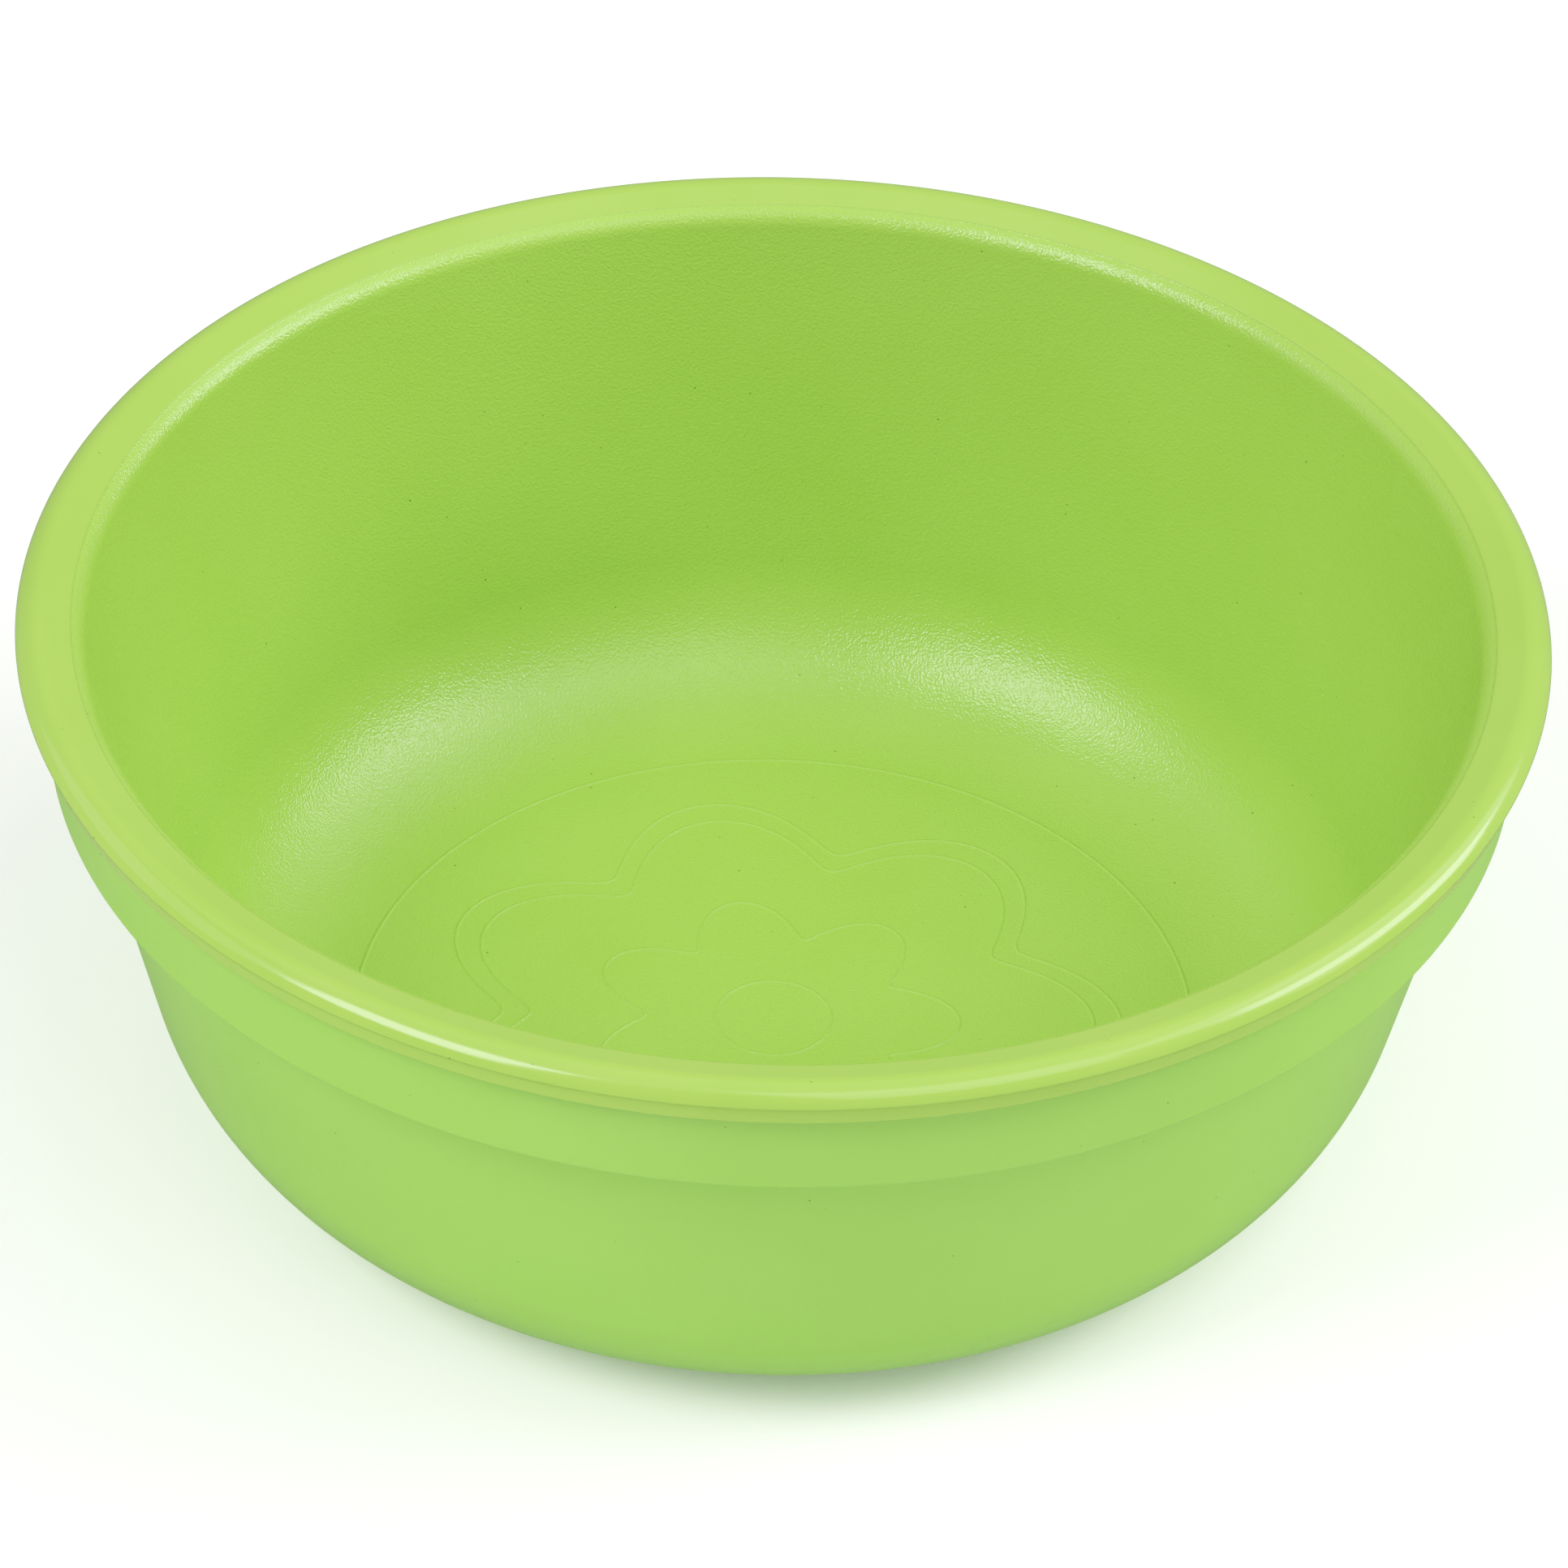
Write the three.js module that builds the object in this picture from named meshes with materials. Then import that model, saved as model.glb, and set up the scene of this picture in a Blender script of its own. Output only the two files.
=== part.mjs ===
// A round one-piece bowl, injection moulded in satin plastic.
//
// Millimetres, +Z up. The origin is the centre of the face the bowl stands on, and +Z is its axis.
// The whole bowl is one outline turned about that axis: it runs from the middle of the underside out to
// the foot ring, up the outside to the lip, over the rim, and down the inside to the middle of the floor.

import * as THREE from "three";

// Overall size
const RIM_RADIUS = 64;
const HEIGHT = 47.5;

// Lip: a top that leans in towards the mouth, an outer round that stops at the parting line, and a
// plain skirt below that
const RIM_SLOPE = THREE.MathUtils.degToRad(15);
const LIP_TOP_ROUND = 2;
const PARTING_DEPTH = 1.5; // below the rim's top
const PARTING_STEP = 0.3;
const LIP_DEPTH = 3.4;
const LIP_TAPER = 0.3; // how far the skirt draws in towards its lower edge
const LIP_EDGE_ROUND = 0.3;

// Stacking band under the lip, ending in a ledge
const BAND_TOP_RADIUS = 62;
const LEDGE_RADIUS = 61.5;
const LEDGE_DEPTH = 11.7; // below the rim's top
const LEDGE_ROUND = 0.4;
const BAND_HOLLOW_ROUND = 0.5; // inside corners above the band and below the ledge

// Wall and bottom corner
const WALL_TOP_RADIUS = 58.9;
const DRAFT = THREE.MathUtils.degToRad(13.4);
const CORNER_RADIUS = 18.6;

// Foot ring: the rounded corner is sliced off level, and the middle is recessed
const FOOT_SLICE = 0.5;
const FOOT_WIDTH = 3;
const RECESS_DEPTH = 0.6;
const GATE_RADIUS = 2.5; // round pip left by the mould's gate
const GATE_HEIGHT = 0.3;

// Inside
const MOUTH_RADIUS = 58; // where the rim's inner round would turn straight down
const MOUTH_ROUND = 2.2;
const FLOOR_HEIGHT = 2.6;
const FLOOR_RADIUS = 36.2; // flat disc, level with the end of the mould's core insert

const TURN_SEGMENTS = 80;
const QUARTER = Math.PI / 2;

function point(radius, height) {
  return new THREE.Vector2(radius, height);
}

// Points along an arc from one angle to the other, both ends included.
function arc(centre, radius, from, to, steps) {
  return Array.from({ length: steps + 1 }, (_, i) => {
    const angle = from + ((to - from) * i) / steps;
    return point(centre.x + radius * Math.cos(angle), centre.y + radius * Math.sin(angle));
  });
}

function underside(footRadius) {
  const footInner = footRadius - FOOT_WIDTH;
  return [
    point(0, RECESS_DEPTH - GATE_HEIGHT),
    point(GATE_RADIUS, RECESS_DEPTH - GATE_HEIGHT),
    point(GATE_RADIUS + GATE_HEIGHT, RECESS_DEPTH),
    point(footInner - RECESS_DEPTH, RECESS_DEPTH),
    point(footInner, 0),
  ];
}

function band() {
  const ledgeHeight = HEIGHT - LEDGE_DEPTH;
  const lipBottom = HEIGHT - LIP_DEPTH;
  const wallJoin = point(WALL_TOP_RADIUS + BAND_HOLLOW_ROUND, ledgeHeight - BAND_HOLLOW_ROUND);
  const ledgeEdge = point(LEDGE_RADIUS - LEDGE_ROUND, ledgeHeight + LEDGE_ROUND);
  const lipJoin = point(BAND_TOP_RADIUS + BAND_HOLLOW_ROUND, lipBottom - BAND_HOLLOW_ROUND);
  return [
    ...arc(wallJoin, BAND_HOLLOW_ROUND, 2 * QUARTER, QUARTER, 2),
    ...arc(ledgeEdge, LEDGE_ROUND, -QUARTER, 0, 2),
    ...arc(lipJoin, BAND_HOLLOW_ROUND, 2 * QUARTER, QUARTER, 2),
  ];
}

function lip() {
  const skirtTop = RIM_RADIUS - PARTING_STEP;
  const skirtBottom = skirtTop - LIP_TAPER;
  const edge = point(skirtBottom - LIP_EDGE_ROUND, HEIGHT - LIP_DEPTH + LIP_EDGE_ROUND);
  const roundStart = Math.asin(1 - PARTING_DEPTH / LIP_TOP_ROUND);
  const topRound = point(RIM_RADIUS - LIP_TOP_ROUND * Math.cos(roundStart), HEIGHT - LIP_TOP_ROUND);
  const top = arc(topRound, LIP_TOP_ROUND, roundStart, QUARTER + RIM_SLOPE, 6);

  // The sloping top is tangent to both rounds.
  const slopeStart = top.at(-1);
  const mouthCentre = MOUTH_RADIUS + MOUTH_ROUND;
  const slopeEnd = mouthCentre - MOUTH_ROUND * Math.sin(RIM_SLOPE);
  const slopeDrop = (slopeStart.x - slopeEnd) * Math.tan(RIM_SLOPE);
  const mouthRound = point(mouthCentre, slopeStart.y - slopeDrop - MOUTH_ROUND * Math.cos(RIM_SLOPE));
  return [
    ...arc(edge, LIP_EDGE_ROUND, -QUARTER, 0, 2),
    point(skirtTop, HEIGHT - PARTING_DEPTH),
    ...top,
    ...arc(mouthRound, MOUTH_ROUND, QUARTER + RIM_SLOPE, 2 * QUARTER - DRAFT, 6),
  ];
}

// The inner wall is a cone that leaves the mouth's round along its tangent and runs into the floor's
// fillet along the fillet's tangent. The fillet starts at the edge of the flat disc.
function inside() {
  const mouth = lip().at(-1);
  const toWall = (mouth.x - FLOOR_RADIUS) * Math.cos(DRAFT) - (mouth.y - FLOOR_HEIGHT) * Math.sin(DRAFT);
  const filletRadius = toWall / (1 - Math.sin(DRAFT));
  const centre = point(FLOOR_RADIUS, FLOOR_HEIGHT + filletRadius);
  return [...arc(centre, filletRadius, -DRAFT, -QUARTER, 9), point(0, FLOOR_HEIGHT)];
}

function outline() {
  const cornerHeight = CORNER_RADIUS - FOOT_SLICE;
  const wallDrop = HEIGHT - LEDGE_DEPTH - BAND_HOLLOW_ROUND - cornerHeight;
  const cornerCentre = point(
    WALL_TOP_RADIUS - wallDrop * Math.tan(DRAFT) - CORNER_RADIUS / Math.cos(DRAFT),
    cornerHeight,
  );
  const footAngle = -Math.asin(cornerHeight / CORNER_RADIUS);
  const corner = arc(cornerCentre, CORNER_RADIUS, footAngle, -DRAFT, 8);
  return [...underside(corner[0].x), ...corner, ...band(), ...lip(), ...inside()];
}

function bowl() {
  const geometry = new THREE.LatheGeometry(outline(), TURN_SEGMENTS);
  geometry.rotateX(QUARTER);
  const plastic = new THREE.MeshStandardMaterial({ color: 0x9fcf55, roughness: 0.45, metalness: 0 });
  const mesh = new THREE.Mesh(geometry, plastic);
  mesh.name = "bowl";
  return mesh;
}

const object = new THREE.Group();
object.add(bowl());

export default object;
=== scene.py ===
"""A small one-piece bowl moulded in green satin plastic, on a pale floor in soft studio light.

The bowl is one turned surface. Its section is written in millimetres from the middle of the underside,
out over the foot ring, up the outside, over the lip and down the inside to the middle of the floor, and
the floor's raised ornament is part of the same surface. The material adds what is finer than that.
"""

import math
from collections import namedtuple

import bpy
import numpy as np
from mathutils import Matrix, Vector


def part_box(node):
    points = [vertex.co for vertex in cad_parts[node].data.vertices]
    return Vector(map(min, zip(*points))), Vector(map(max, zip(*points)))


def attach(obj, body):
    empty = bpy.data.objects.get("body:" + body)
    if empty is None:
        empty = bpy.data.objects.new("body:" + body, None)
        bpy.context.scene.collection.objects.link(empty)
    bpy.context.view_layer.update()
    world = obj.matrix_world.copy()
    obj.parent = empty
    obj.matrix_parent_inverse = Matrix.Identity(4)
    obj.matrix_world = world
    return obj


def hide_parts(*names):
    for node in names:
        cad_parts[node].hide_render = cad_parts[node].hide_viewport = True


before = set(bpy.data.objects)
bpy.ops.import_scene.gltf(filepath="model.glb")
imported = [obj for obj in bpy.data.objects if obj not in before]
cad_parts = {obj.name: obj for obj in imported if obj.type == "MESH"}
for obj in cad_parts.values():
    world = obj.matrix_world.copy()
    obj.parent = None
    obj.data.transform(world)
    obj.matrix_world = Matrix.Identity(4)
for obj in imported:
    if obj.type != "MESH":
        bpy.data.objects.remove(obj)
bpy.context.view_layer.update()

MM = 0.001
QUARTER = math.pi / 2

# Overall size, from the frame
low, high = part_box("bowl")
RIM_RADIUS = (high[0] - low[0]) / 2 / MM
HEIGHT = (high[2] - low[2]) / MM

# Lip
RIM_SLOPE = math.radians(15)  # the rim's top leans in towards the mouth
LIP_TOP_ROUND = 2.0
PARTING_DEPTH = 1.5
PARTING_STEP = 0.3
PARTING_ROUND = 0.08
LIP_DEPTH = 3.4
LIP_TAPER = 0.3
LIP_EDGE_ROUND = 0.3

# Stacking band and ledge
BAND_TOP_RADIUS = 62.0
LEDGE_RADIUS = 61.5
LEDGE_DEPTH = 11.7
LEDGE_ROUND = 0.4
BAND_HOLLOW_ROUND = 0.5

# Wall, bottom corner and foot ring
WALL_TOP_RADIUS = 58.9
DRAFT = math.radians(13.4)
CORNER_RADIUS = 18.6
FOOT_SLICE = 0.5
FOOT_WIDTH = 3.0
FOOT_ROUND = 0.15
RECESS_DEPTH = 0.6
GATE_RADIUS = 2.5
GATE_HEIGHT = 0.3

# Inside
MOUTH_RADIUS = 58.0  # where the rim's inner round would turn straight down
MOUTH_ROUND = 2.2
WITNESS_RADIUS = 59.4  # a fine line where the mould's core begins, part way down the mouth's round
WITNESS_STEP = 0.06
FLOOR_HEIGHT = 2.6
FLOOR_RADIUS = 36.2

# Floor ornament: raised hairlines in the outline of a flower, one inside the other
RIDGE_WIDTH = 0.42
RIDGE_HEIGHT = 0.08
RIDGE_FOOT = 1.5  # half widths from the crest to the flat rings beside it
RIDGE_STEPS = 8
PETALS = 7
PETAL_LINES = ((30, 8), (27.6, 8), (16, 6))  # each flower's tip radius and petal depth, before softening
PETAL_SOFTNESS = 0.03  # rounds the tips and, more so, the notches between petals
CENTRE_RING_RADIUS = 5.0

# Material. Scales are features per millimetre
CLOUD_SCALE = 0.06
CLOUD_RANGE = (0.35, 0.65)  # the noise's values at the light and at the dark end
SKIN_SCALE = 0.9
GRAIN_SCALE = 4.2
GRAIN_DEPTH = 0.07  # millimetres, where the grain is at its strongest
SPECK_SCALE = 0.6
BARE_SHARE = 0.4  # of the cells, those without a speck
SPECK_REACH = 0.06  # the largest speck's radius, as a share of a cell
SCUFF_ANGLE = 0.7  # radians, about the bowl's axis
SCUFF_STRETCH = (1.6, 0.05, 1.6)
SCUFF_CREST = (0.75, 0.79)  # the noise's values where a scuff begins and where it is full
SCUFF_DEPTH = 0.05  # as a share of the grain's depth
RIM_ROUGHNESS = 0.15
OUTSIDE_ROUGHNESS = 0.34
INSIDE_ROUGHNESS = 0.21
SKIN_ROUGHNESS = 0.06
SCUFF_ROUGHNESS = 0.08
CLOUD_SHADE = (0.96, 0.975, 0.90, 1)  # multiplies the colour at the dark end
SPECK_COLOUR = (0.12, 0.24, 0.03, 1)
PLASTIC_IOR = 1.49

# Studio floor and world
STUDIO_HALF = 2.0  # metres, from the bowl to the floor's edges
STUDIO_WHITE = (0.97, 0.97, 0.97, 1)
FLOOR_GLOW = 0.12
WORLD_LIGHT = 0.20

# Camera: a long lens, placed in rim radii from the axis and above the rim. Angles are in radians
LENS = 211.46
SENSOR_WIDTH = 36
CAMERA_BACK = 9.587
CAMERA_UP = 7.2092
PITCH = 0.6645
YAW = 0.0006
LEAN = 0.0276
SHOULDER = 1.5  # of the camera's response: the higher, the straighter
RESPONSE_TONES = (0.05, 0.15, 0.3, 0.5, 0.75)  # where the response's curve gets a point

TURN_SEGMENTS = 504  # a multiple of the petals, so that all petals are cut alike
SUPPORT_GAP = 0.12  # rings this close to a corner keep smooth shading off the flats
LONG_STRETCH = 0.8  # stretches longer than this get such rings

# The mould's three zones: how strongly each is grained, and its colour: the plastic's one green with
# painted shade, less green on the brightly lit rim and a deeper green on the outer wall
Zone = namedtuple("Zone", "grain colour")
RIM = Zone(0.0, (0.316, 0.530, 0.077))
OUTSIDE = Zone(0.2, (0.280, 0.578, 0.070))
INSIDE = Zone(1.0, (0.316, 0.562, 0.0735))


def arc(centre, radius, start, end, steps, zone):
    """Section points along an arc, both ends included."""
    return [
        (centre[0] + radius * math.cos(a), centre[1] + radius * math.sin(a), zone)
        for a in np.linspace(start, end, steps + 1)
    ]


def underside(foot_radius):
    """The gate's pip, the recess round it and the foot ring's inner edge."""
    foot_inner = foot_radius - FOOT_WIDTH
    gate_top = RECESS_DEPTH - GATE_HEIGHT
    return [
        (GATE_RADIUS, gate_top, OUTSIDE),
        (GATE_RADIUS + GATE_HEIGHT, RECESS_DEPTH, OUTSIDE),
        (foot_inner - RECESS_DEPTH, RECESS_DEPTH, OUTSIDE),
        *arc((foot_inner, FOOT_ROUND), FOOT_ROUND, -3 * QUARTER / 2, -QUARTER, 4, OUTSIDE),
    ]


def corner():
    """The rounded bottom corner, from the foot up to the wall, which leaves it along its tangent."""
    centre_height = CORNER_RADIUS - FOOT_SLICE
    wall_drop = HEIGHT - LEDGE_DEPTH - BAND_HOLLOW_ROUND - centre_height
    centre_radius = WALL_TOP_RADIUS - wall_drop * math.tan(DRAFT) - CORNER_RADIUS / math.cos(DRAFT)
    foot_angle = -math.asin(centre_height / CORNER_RADIUS)
    return arc((centre_radius, centre_height), CORNER_RADIUS, foot_angle, -DRAFT, 28, OUTSIDE)


def band():
    """The hollow below the ledge, the ledge's edge and the hollow under the lip."""
    ledge = HEIGHT - LEDGE_DEPTH
    lip_bottom = HEIGHT - LIP_DEPTH
    hollow = BAND_HOLLOW_ROUND
    return [
        *arc((WALL_TOP_RADIUS + hollow, ledge - hollow), hollow, 2 * QUARTER, QUARTER, 6, OUTSIDE),
        *arc((LEDGE_RADIUS - LEDGE_ROUND, ledge + LEDGE_ROUND), LEDGE_ROUND, -QUARTER, 0, 6, OUTSIDE),
        *arc((BAND_TOP_RADIUS + hollow, lip_bottom - hollow), hollow, 2 * QUARTER, QUARTER, 6, OUTSIDE),
    ]


def lip():
    """The skirt's lower edge, the parting step and the rim's outer round, up to the sloping top."""
    skirt_top = RIM_RADIUS - PARTING_STEP
    edge = (skirt_top - LIP_TAPER - LIP_EDGE_ROUND, HEIGHT - LIP_DEPTH + LIP_EDGE_ROUND)
    parting = HEIGHT - PARTING_DEPTH
    round_start = math.asin(1 - PARTING_DEPTH / LIP_TOP_ROUND)
    top = (RIM_RADIUS - LIP_TOP_ROUND * math.cos(round_start), HEIGHT - LIP_TOP_ROUND)
    return [
        *arc(edge, LIP_EDGE_ROUND, -QUARTER, 0, 6, RIM),
        (skirt_top, parting - PARTING_ROUND, RIM),
        (skirt_top + PARTING_ROUND, parting, RIM),
        (RIM_RADIUS - PARTING_ROUND, parting, RIM),
        *arc(top, LIP_TOP_ROUND, round_start, QUARTER + RIM_SLOPE, 18, RIM),
    ]


def mouth():
    """The inner round of the rim. A fine step part way round it marks where the mould's core begins."""
    slope_radius, slope_height, _ = lip()[-1]
    across = MOUTH_RADIUS + MOUTH_ROUND
    drop = (slope_radius - across + MOUTH_ROUND * math.sin(RIM_SLOPE)) * math.tan(RIM_SLOPE)
    centre = (across, slope_height - drop - MOUTH_ROUND * math.cos(RIM_SLOPE))
    witness = math.acos((WITNESS_RADIUS - across) / MOUTH_ROUND)
    core = witness + WITNESS_STEP / MOUTH_ROUND
    return [
        *arc(centre, MOUTH_ROUND, QUARTER + RIM_SLOPE, witness, 3, RIM),
        *arc(centre, MOUTH_ROUND - WITNESS_STEP, core, 2 * QUARTER - DRAFT, 12, INSIDE),
    ]


def fillet():
    """The inner fillet, tangent to the floor at its edge and to the cone of the inner wall."""
    radius, height, _ = mouth()[-1]
    to_wall = (radius - FLOOR_RADIUS) * math.cos(DRAFT) - (height - FLOOR_HEIGHT) * math.sin(DRAFT)
    fillet_radius = to_wall / (1 - math.sin(DRAFT))
    centre = (FLOOR_RADIUS, FLOOR_HEIGHT + fillet_radius)
    return arc(centre, fillet_radius, -DRAFT, -QUARTER, 32, INSIDE)


def with_support(points):
    """Adds a point just inside each end of every long straight stretch."""
    result = [points[0]]
    for start, end in zip(points, points[1:]):
        length = math.dist(start[:2], end[:2])
        if length > LONG_STRETCH:
            for share in (SUPPORT_GAP / length, 1 - SUPPORT_GAP / length):
                radius = start[0] + (end[0] - start[0]) * share
                height = start[1] + (end[1] - start[1]) * share
                result.append((radius, height, start[2]))
        result.append(end)
    return result


def petal_outline(angles, radius, depth):
    """Radius of a flower's outline: round petals that meet in soft notches."""
    return radius + depth * (np.sqrt(np.cos(PETALS * angles / 2) ** 2 + PETAL_SOFTNESS) - 1)


def ridge(angles, line):
    """Rings of one raised hairline that follows the closed curve line, a radius for each angle."""
    slope = np.gradient(line, angles) / line
    half_width = RIDGE_WIDTH / 2 * np.sqrt(1 + slope**2)
    shares = np.linspace(1, -1, RIDGE_STEPS + 1)
    heights = RIDGE_HEIGHT * (1 + np.cos(math.pi * shares)) / 2
    shares = [RIDGE_FOOT, *shares, -RIDGE_FOOT]
    heights = [0, *heights, 0]
    return [
        (line + half_width * share, FLOOR_HEIGHT + height, INSIDE)
        for share, height in zip(shares, heights)
    ]


def floor(angles):
    """Rings of the flat floor, from its edge inwards: one hairline inside the other."""
    lines = [
        np.full_like(angles, FLOOR_RADIUS),
        *(petal_outline(angles, radius, depth) for radius, depth in PETAL_LINES),
        np.full_like(angles, CENTRE_RING_RADIUS),
    ]
    return [ring for line in lines for ring in ridge(angles, line)]


def turned_mesh(name):
    """The whole bowl as one closed surface, with each zone's grain and colour stored on its points: the
    colour is the plastic's green with painted shade on the rim and the outer wall.
    """
    angles = np.linspace(0, 2 * math.pi, TURN_SEGMENTS, endpoint=False)
    wall = corner()
    section = [*underside(wall[0][0]), *wall, *band(), *lip(), *mouth(), *fillet()[:-1]]
    rings = with_support(section) + floor(angles)

    # Point 0 is the middle of the underside, the rings follow, and the last is the middle of the floor
    points = [(0, 0, RECESS_DEPTH - GATE_HEIGHT)]
    zones = [OUTSIDE]
    for radius, height, zone in rings:
        across = radius * np.cos(angles)
        along = radius * np.sin(angles)
        points += zip(across, along, np.full_like(angles, height))
        zones += [zone] * TURN_SEGMENTS
    points.append((0, 0, FLOOR_HEIGHT))
    zones.append(INSIDE)

    middle = len(points) - 1
    last_ring = middle - TURN_SEGMENTS
    faces = []
    for j in range(TURN_SEGMENTS):
        k = (j + 1) % TURN_SEGMENTS
        faces.append((0, 1 + k, 1 + j))
        faces.append((middle, last_ring + j, last_ring + k))
        for ring in range(1, last_ring, TURN_SEGMENTS):
            next_ring = ring + TURN_SEGMENTS
            faces.append((ring + j, ring + k, next_ring + k, next_ring + j))

    mesh = bpy.data.meshes.new(name)
    mesh.from_pydata([Vector(p) * MM for p in points], [], faces)
    grain = [zone.grain for zone in zones]
    # each point's colour: the plastic's green, with the zone's painted shade on the rim and the outer wall
    tint_and_shade = [channel for zone in zones for channel in (*zone.colour, 1)]
    mesh.attributes.new("grain", "FLOAT", "POINT").data.foreach_set("value", grain)
    mesh.attributes.new("tint_and_shade", "FLOAT_COLOR", "POINT").data.foreach_set("color", tint_and_shade)
    mesh.shade_smooth()
    mesh.update()
    return mesh


class Shader:
    """A material's node tree, with short calls for the nodes that this scene needs."""

    def __init__(self, name):
        self.material = bpy.data.materials.new(name)
        self.material.use_nodes = True
        self.tree = self.material.node_tree
        self.surface = self.tree.nodes["Principled BSDF"]

    def node(self, kind, inputs=None, **settings):
        """Adds a node. Inputs are plain values, or other nodes' output sockets."""
        node = self.tree.nodes.new(kind)
        for key, value in settings.items():
            setattr(node, key, value)
        for key, value in (inputs or {}).items():
            if isinstance(value, bpy.types.NodeSocket):
                self.tree.links.new(value, node.inputs[key])
            else:
                node.inputs[key].default_value = value
        return node

    def math(self, operation, *values):
        """Adds a Math node: values are numbers or sockets, in the order of its inputs."""
        inputs = dict(enumerate(values))
        return self.node("ShaderNodeMath", inputs, operation=operation).outputs[0]

    def remap(self, value, from_low, from_high, to_low, to_high):
        """Maps the first range to the second, and stops at the second's ends."""
        inputs = {0: value, 1: from_low, 2: from_high, 3: to_low, 4: to_high}
        return self.node("ShaderNodeMapRange", inputs).outputs[0]

    def noise(self, place, scale, detail):
        """Smooth noise from 0 to 1, mostly near 0.5."""
        inputs = {"Vector": place, "Scale": scale, "Detail": detail}
        return self.node("ShaderNodeTexNoise", inputs).outputs[0]

    def mix(self, share, first, second, blend="MIX"):
        """Blends two colours, through the colour sockets of a Mix node: 6, 7 and the output 2."""
        inputs = {0: share, 6: first, 7: second}
        return self.node("ShaderNodeMix", inputs, data_type="RGBA", blend_type=blend).outputs[2]

    def link(self, value, socket):
        """Gives the surface a value for one of its sockets."""
        self.tree.links.new(value, self.surface.inputs[socket])


def specks(shader, place):
    """1 on small round dots: a ball at the heart of some of the cells of a Voronoi."""
    cells = shader.node("ShaderNodeTexVoronoi", {"Vector": place, "Scale": SPECK_SCALE, "Randomness": 1})
    chance = shader.node("ShaderNodeSeparateColor", {0: cells.outputs["Color"]}).outputs["Red"]
    reach = shader.remap(chance, BARE_SHARE, 1, 0, SPECK_REACH)
    return shader.math("LESS_THAN", cells.outputs["Distance"], reach)


def scuffs(shader, place):
    """1 on hairlines: the thin crests of a noise stretched a long way in one direction."""
    turned = shader.node("ShaderNodeVectorRotate", {"Vector": place, "Angle": SCUFF_ANGLE}).outputs[0]
    stretched = shader.node("ShaderNodeVectorMath", {0: turned, 1: SCUFF_STRETCH}, operation="MULTIPLY")
    return shader.remap(shader.noise(stretched.outputs[0], 1, 1), *SCUFF_CREST, 0, 1)


def bowl_plastic():
    """Satin green plastic: a fine moulded grain inside, a few hairline scuffs and small dark specks."""
    shader = Shader("bowl_plastic")
    metres = shader.node("ShaderNodeTexCoord").outputs["Object"]
    place = shader.node("ShaderNodeVectorMath", {0: metres, "Scale": 1 / MM}, operation="SCALE").outputs[0]
    grain = shader.node("ShaderNodeAttribute", attribute_name="grain").outputs["Fac"]
    # the zones' colours, which carry painted shade on the rim and on the outer wall
    tint_and_shade = shader.node("ShaderNodeAttribute", attribute_name="tint_and_shade").outputs["Color"]
    speck = specks(shader, place)
    scuff = scuffs(shader, place)

    cloud = shader.noise(place, CLOUD_SCALE, 3)
    shaded = shader.mix(shader.remap(cloud, *CLOUD_RANGE, 0, 1), tint_and_shade, CLOUD_SHADE, "MULTIPLY")
    shader.link(shader.mix(speck, shaded, SPECK_COLOUR), "Base Color")

    satin = shader.remap(grain, RIM.grain, OUTSIDE.grain, RIM_ROUGHNESS, OUTSIDE_ROUGHNESS)
    inside = shader.remap(grain, OUTSIDE.grain, INSIDE.grain, 0, INSIDE_ROUGHNESS - OUTSIDE_ROUGHNESS)
    skin = shader.math("SUBTRACT", shader.noise(place, SKIN_SCALE, 2), 0.5)
    mottled = shader.math("MULTIPLY_ADD", skin, SKIN_ROUGHNESS, satin)
    moulded = shader.math("ADD", mottled, inside)
    shader.link(shader.math("MULTIPLY_ADD", scuff, SCUFF_ROUGHNESS, moulded), "Roughness")

    relief = shader.math("MULTIPLY", shader.noise(place, GRAIN_SCALE, 1), grain)
    height = shader.math("MULTIPLY_ADD", scuff, -SCUFF_DEPTH, relief)
    bump = shader.node("ShaderNodeBump", {"Strength": 1, "Distance": GRAIN_DEPTH * MM, "Height": height})
    shader.link(bump.outputs[0], "Normal")

    shader.surface.inputs["IOR"].default_value = PLASTIC_IOR
    return shader.material


def make_bowl():
    """The bowl's one piece, which stands for the CAD model's only node."""
    piece = bpy.data.objects.new("bowl_moulding", turned_mesh("bowl_moulding"))
    bpy.context.scene.collection.objects.link(piece)
    piece.data.materials.append(bowl_plastic())
    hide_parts("bowl")
    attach(piece, "root")


def make_studio_floor():
    """A wide white floor that gives off a little light of its own, which softens the bowl's shadow."""
    mesh = bpy.data.meshes.new("floor")
    corners = [Vector((x, y, 0)) * STUDIO_HALF for x, y in ((-1, -1), (1, -1), (1, 1), (-1, 1))]
    mesh.from_pydata(corners, [], [(0, 1, 2, 3)])
    studio_floor = bpy.data.objects.new("floor", mesh)
    bpy.context.scene.collection.objects.link(studio_floor)
    shader = Shader("studio_floor")
    shader.surface.inputs["Base Color"].default_value = STUDIO_WHITE
    shader.surface.inputs["Roughness"].default_value = 0.8
    shader.surface.inputs["Specular IOR Level"].default_value = 0.2
    shader.surface.inputs["Emission Color"].default_value = (1, 1, 1, 1)
    shader.surface.inputs["Emission Strength"].default_value = FLOOR_GLOW
    mesh.materials.append(shader.material)
    studio_floor.visible_glossy = False  # the bowl's gloss shows the softboxes, not the white floor


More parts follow.
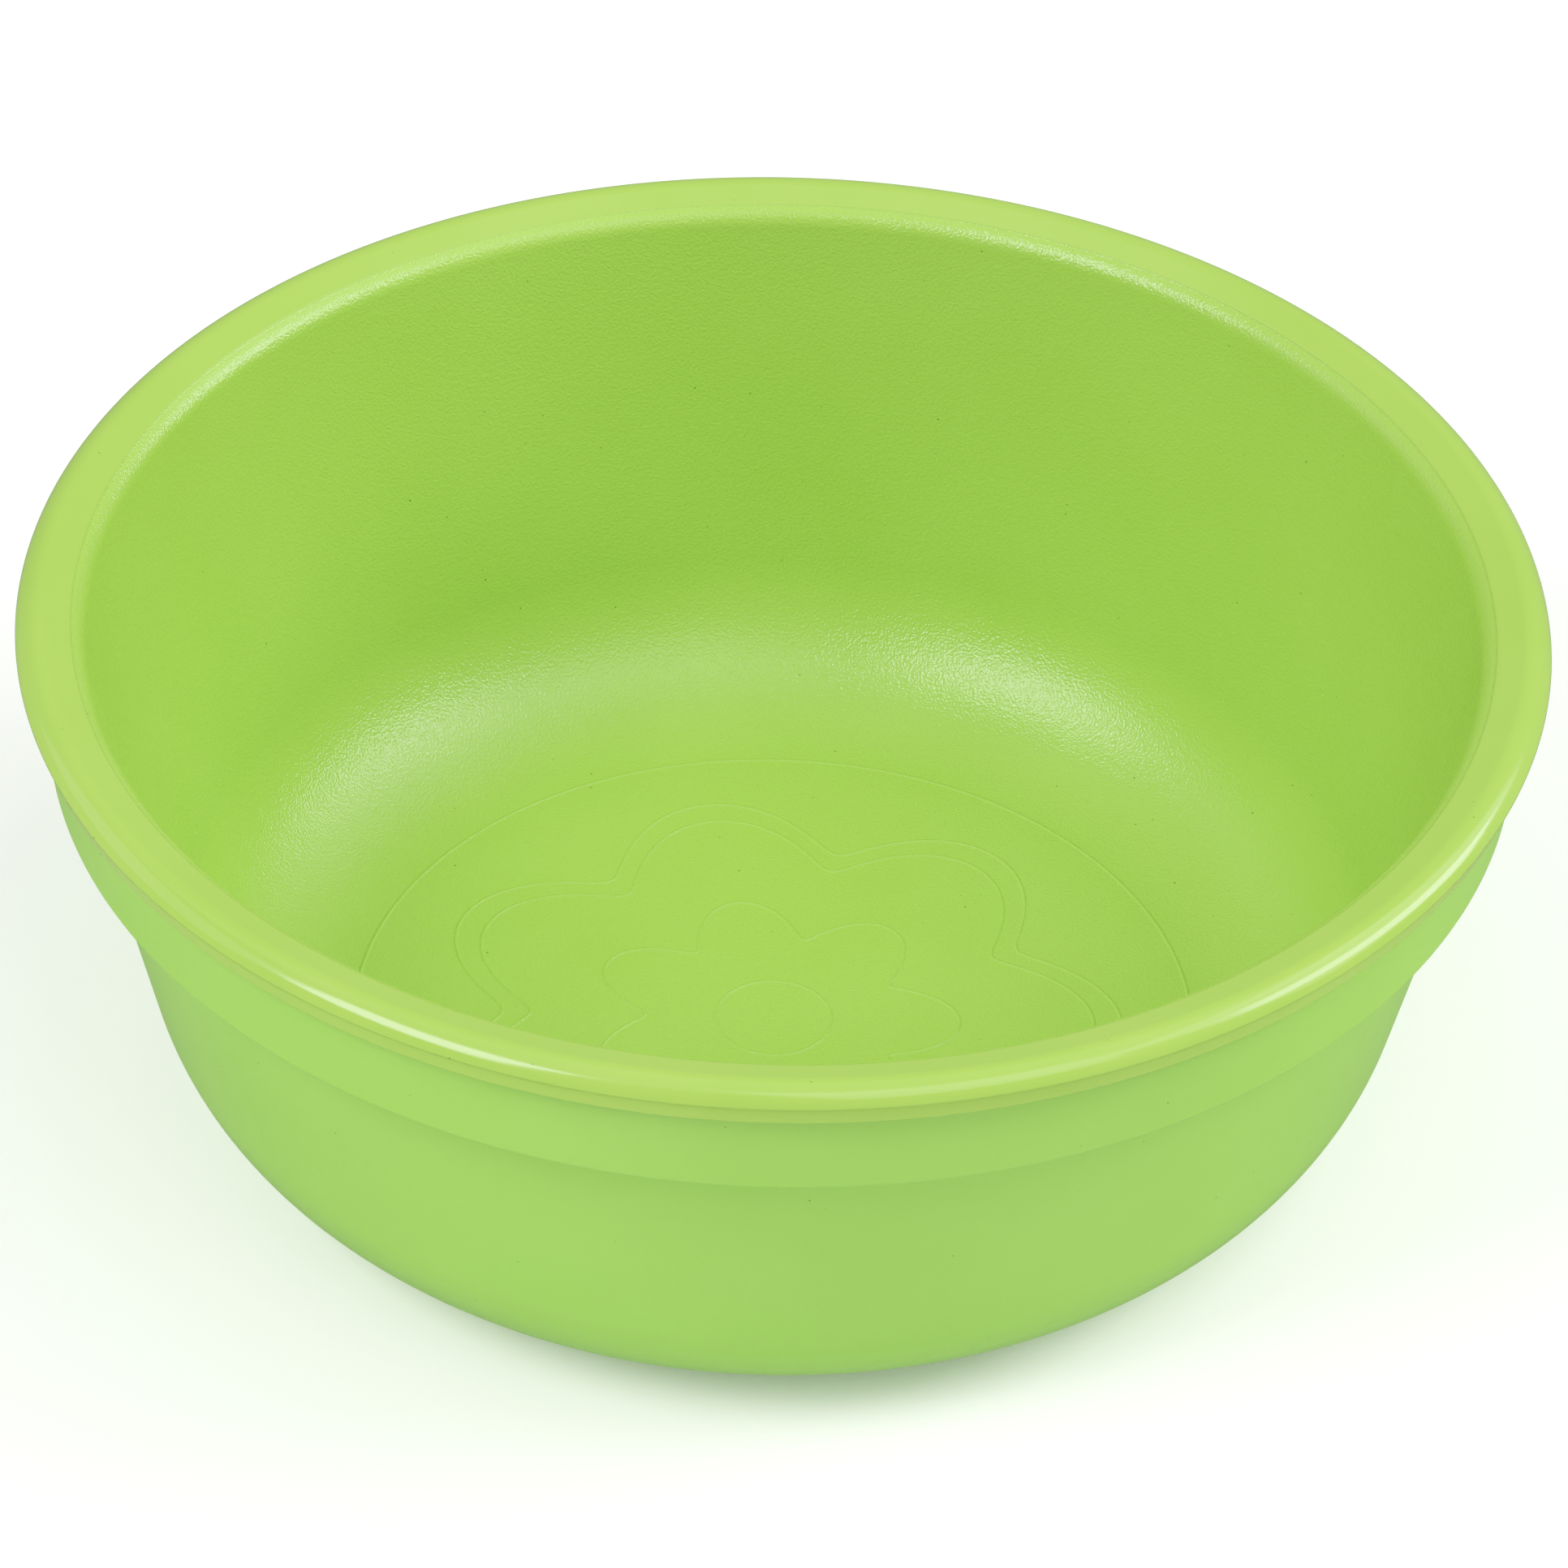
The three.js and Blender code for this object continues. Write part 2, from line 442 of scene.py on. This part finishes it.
def make_camera():
    """Looks down at about 38 degrees from in front of the bowl, leaning slightly to one side."""
    rim = RIM_RADIUS * MM
    data = bpy.data.cameras.new("camera")
    data.sensor_width = SENSOR_WIDTH
    data.lens = LENS
    camera = bpy.data.objects.new("camera", data)
    place = Vector((0, -CAMERA_BACK * rim, HEIGHT * MM + CAMERA_UP * rim))
    aim = Matrix.Rotation(-YAW, 4, "Z") @ Matrix.Rotation(QUARTER - PITCH, 4, "X")
    camera.matrix_world = Matrix.Translation(place) @ aim @ Matrix.Rotation(LEAN, 4, "Z")
    bpy.context.scene.collection.objects.link(camera)
    bpy.context.scene.camera = camera


def make_softbox(name, azimuth, elevation, distance, size, radiance, roll=0):
    """A rectangular area light that faces the bowl.

    Angles are in degrees: azimuth 0 is beyond the bowl and 90 is to its right. Lengths are in metres.
    """
    data = bpy.data.lights.new(name, "AREA")
    data.shape = "RECTANGLE"
    data.size, data.size_y = size
    data.energy = radiance * math.pi * size[0] * size[1]
    light = bpy.data.objects.new(name, data)
    target = Vector((0, 0, HEIGHT * MM / 2))
    across = math.cos(math.radians(elevation))
    towards = Vector((
        across * math.sin(math.radians(azimuth)),
        across * math.cos(math.radians(azimuth)),
        math.sin(math.radians(elevation)),
    ))
    light.location = target + towards * distance
    facing = towards.to_track_quat("Z", "Y").to_matrix() @ Matrix.Rotation(math.radians(roll), 3, "Z")
    light.rotation_euler = facing.to_euler()
    bpy.context.scene.collection.objects.link(light)


def make_lights():
    """A pale studio with softboxes right and left, weaker fills and a broad light overhead."""
    world = bpy.data.worlds.new("studio")
    world.use_nodes = True
    world.node_tree.nodes["Background"].inputs["Color"].default_value = (1, 1, 1, 1)
    world.node_tree.nodes["Background"].inputs["Strength"].default_value = WORLD_LIGHT
    bpy.context.scene.world = world
    make_softbox("right_softbox", 84, 31, 1.1, (0.8, 0.36), 4.6, roll=-40)
    make_softbox("right_fill", 80, 40, 1.1, (1.0, 0.9), 1.5)
    make_softbox("left_softbox", -124, 44, 1.1, (0.55, 0.5), 7.0)
    make_softbox("left_fill", -80, 30, 1.1, (0.9, 0.6), 0.67)
    make_softbox("front_fill", 148, 56, 1.2, (0.7, 0.7), 1.5)
    make_softbox("overhead", 0, 89.9, 1.2, (1.6, 1.6), 0.38)


def make_camera_response():
    """The same gentle shoulder for all three channels, as a camera gives: bright tones roll off."""
    view = bpy.context.scene.view_settings
    view.view_transform = "Standard"
    view.use_curve_mapping = True
    response = view.curve_mapping.curves[3]
    for tone in RESPONSE_TONES:
        response.points.new(tone, (1 + SHOULDER) * tone / (tone + SHOULDER))
    view.curve_mapping.update()


make_bowl()
make_studio_floor()
make_camera()
make_lights()
make_camera_response()
